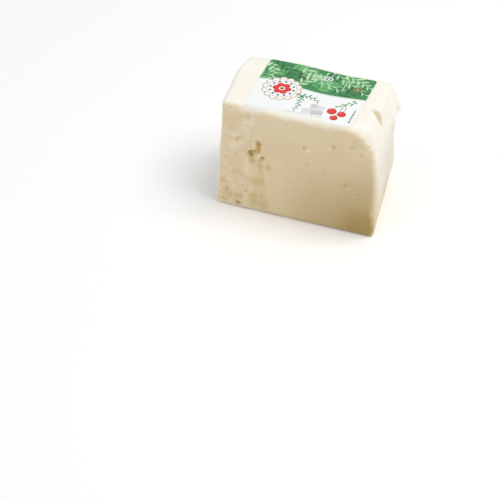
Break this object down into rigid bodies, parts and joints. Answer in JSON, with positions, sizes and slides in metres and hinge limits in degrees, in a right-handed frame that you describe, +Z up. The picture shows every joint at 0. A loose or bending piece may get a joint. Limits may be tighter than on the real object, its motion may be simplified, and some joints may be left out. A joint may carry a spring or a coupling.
{
  "type": "brined white cheese",
  "caption": "Upright rectangular block of white brined cheese with one smooth cut face, soft moulded edges and a printed paper label lying on its top.",
  "frame": {"origin": "centre of the bounding box in plan, on the flat foot that the block stands on", "axes": "+Z up, +X to the right along the cut face, which looks along -Y"},
  "size_m": [0.1072, 0.061, 0.0798],
  "materials": {
    "cheese": null,
    "label_paper": "coated white paper with a satin print in greens, white, red and light grey"
  },
  "bodies": {
    "root": {"cheese_block": "cheese", "label": "label_paper"}
  },
  "joints": []
}
